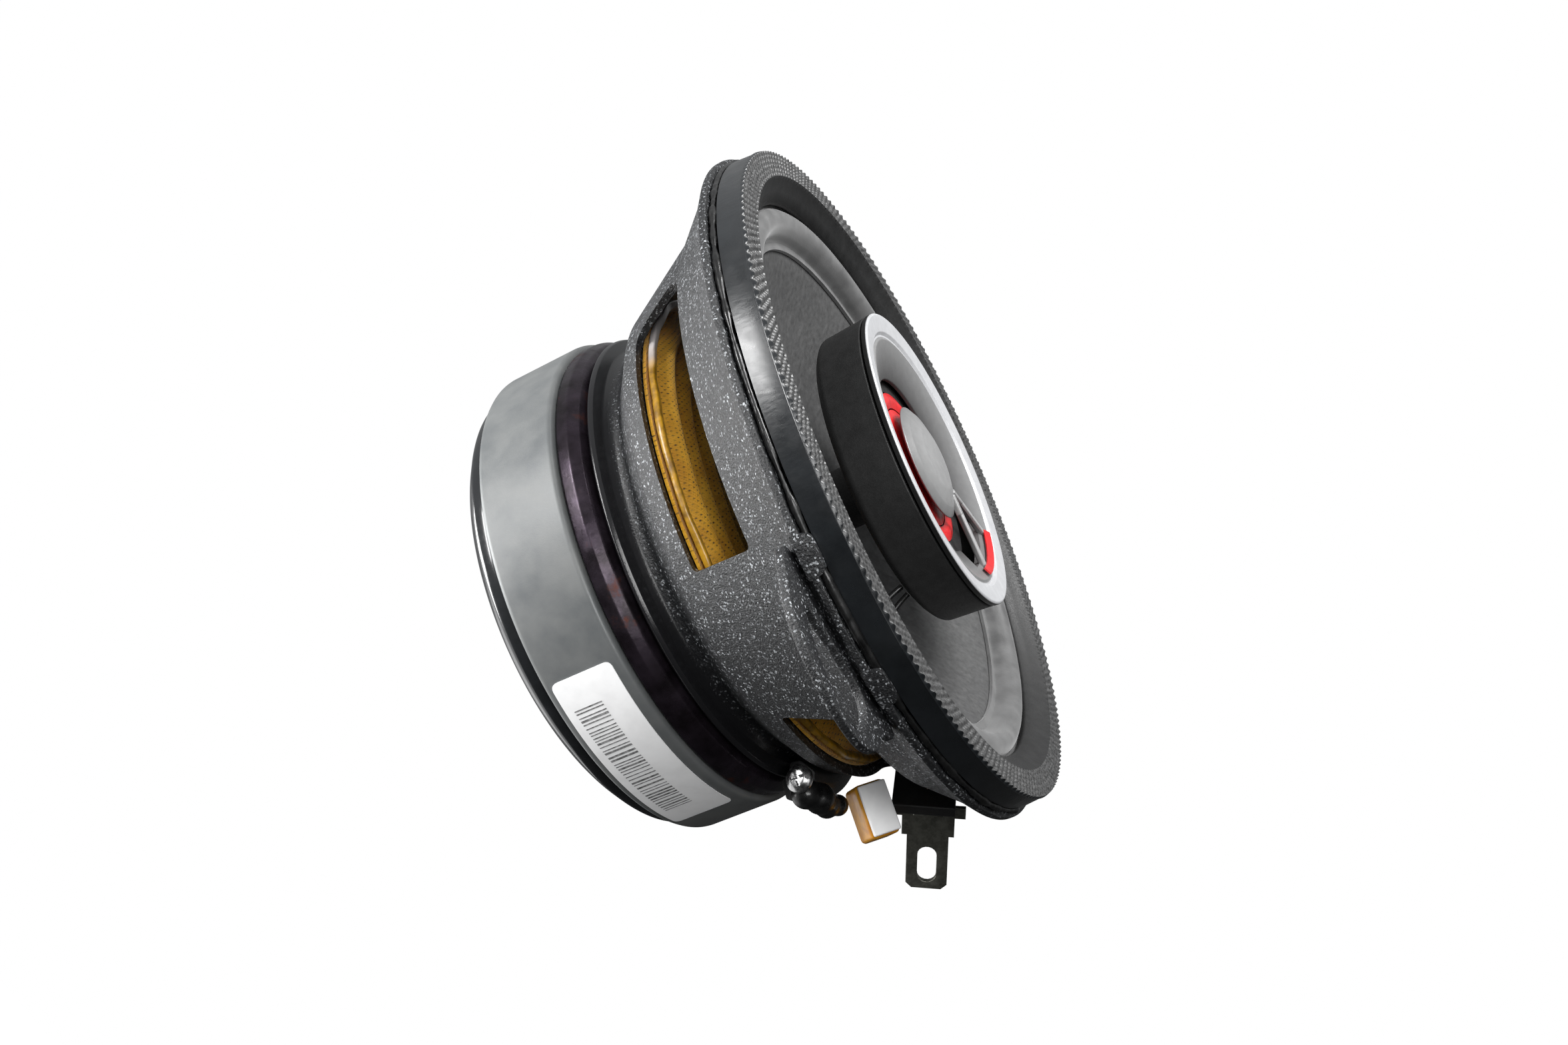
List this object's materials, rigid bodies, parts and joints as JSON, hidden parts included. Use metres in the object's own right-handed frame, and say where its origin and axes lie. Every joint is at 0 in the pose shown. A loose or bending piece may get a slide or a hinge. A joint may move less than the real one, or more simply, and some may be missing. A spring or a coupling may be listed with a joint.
{
  "type": "coaxial car speaker",
  "caption": "Round coaxial car speaker: stamped basket with windows and mounting ears, ferrite motor, sprung cone, gasket ring and a tweeter on a centre post.",
  "frame": {"origin": "centre of the back plate's rear face, on which the speaker stands", "axes": "+Z along the speaker's axis towards the listener, +X at the terminal board, +Y and -Y at the mounting ears"},
  "size_m": [0.1101, 0.123, 0.0583],
  "materials": {
    "paint": "granular dark grey powder paint",
    "gloss_black": "gloss black plate",
    "ferrite": "satin light grey ceramic",
    "oxide": "dark purple-brown passivated steel",
    "steel": "bright plated steel",
    "gasket": "satin black with a knurled front face",
    "rubber": "satin dark grey",
    "paper": "matt embossed pulp",
    "amber_cloth": "amber resin-dipped weave",
    "adhesive": "white glue",
    "copper": "enamelled copper wire",
    "former_film": "amber film",
    "black_plastic": "matt moulded plastic",
    "satin_grey": "satin grey moulding",
    "red": "satin red",
    "terminal_metal": "dull olive grey plated steel",
    "braid": "tinsel braid",
    "orange_case": "orange capacitor case",
    "white_paper": "white label and foam"
  },
  "bodies": {
    "chassis": {"accent_inlay": "red", "basket": "paint", "basket_rivet_1": "steel", "basket_rivet_2": "steel", "basket_rivet_3": "steel", "basket_rivet_4": "steel", "board_rivet_1": "steel", "board_rivet_2": "steel", "capacitor_pad": "white_paper", "clip_screw": "steel", "crossover_capacitor": "orange_case", "crossover_clip": "black_plastic", "ferrite_magnet": "ferrite", "gasket_ring": "gasket", "magnet_label": "white_paper", "spider": "amber_cloth", "spider_adhesive": "adhesive", "surround": "rubber", "t_yoke": "gloss_black", "terminal_board": "black_plastic", "terminal_negative": "terminal_metal", "terminal_positive": "terminal_metal", "tinsel_lead_1": "braid", "tinsel_lead_2": "braid", "top_plate": "oxide", "tweeter_bezel": "satin_grey", "tweeter_clamp_ring": "black_plastic", "tweeter_cup": "steel", "tweeter_housing": "black_plastic", "tweeter_lead_1": "black_plastic", "tweeter_lead_2": "black_plastic", "tweeter_magnet": "steel", "tweeter_pole_plate": "steel", "tweeter_post": "black_plastic", "tweeter_suspension": "red"},
    "cone_assembly": {"cone": "paper", "voice_coil_former": "former_film", "voice_coil_winding": "copper"},
    "tweeter_dome": {"tweeter_diaphragm": "red", "tweeter_coil": "copper"}
  },
  "joints": [
    {"name": "cone_travel", "type": "slide", "parent": "chassis", "child": "cone_assembly", "axis": [0, 0, 1], "range_m": [-0.003, 0.003], "stiffness_N_per_m": 1400, "deforming": ["surround", "spider", "tinsel_lead_1", "tinsel_lead_2", "tweeter_lead_1", "tweeter_lead_2"]},
    {"name": "tweeter_travel", "type": "slide", "parent": "chassis", "child": "tweeter_dome", "axis": [0, 0, 1], "range_m": [-0.0002, 0.0002], "stiffness_N_per_m": 2000, "deforming": ["tweeter_suspension"]}
  ]
}
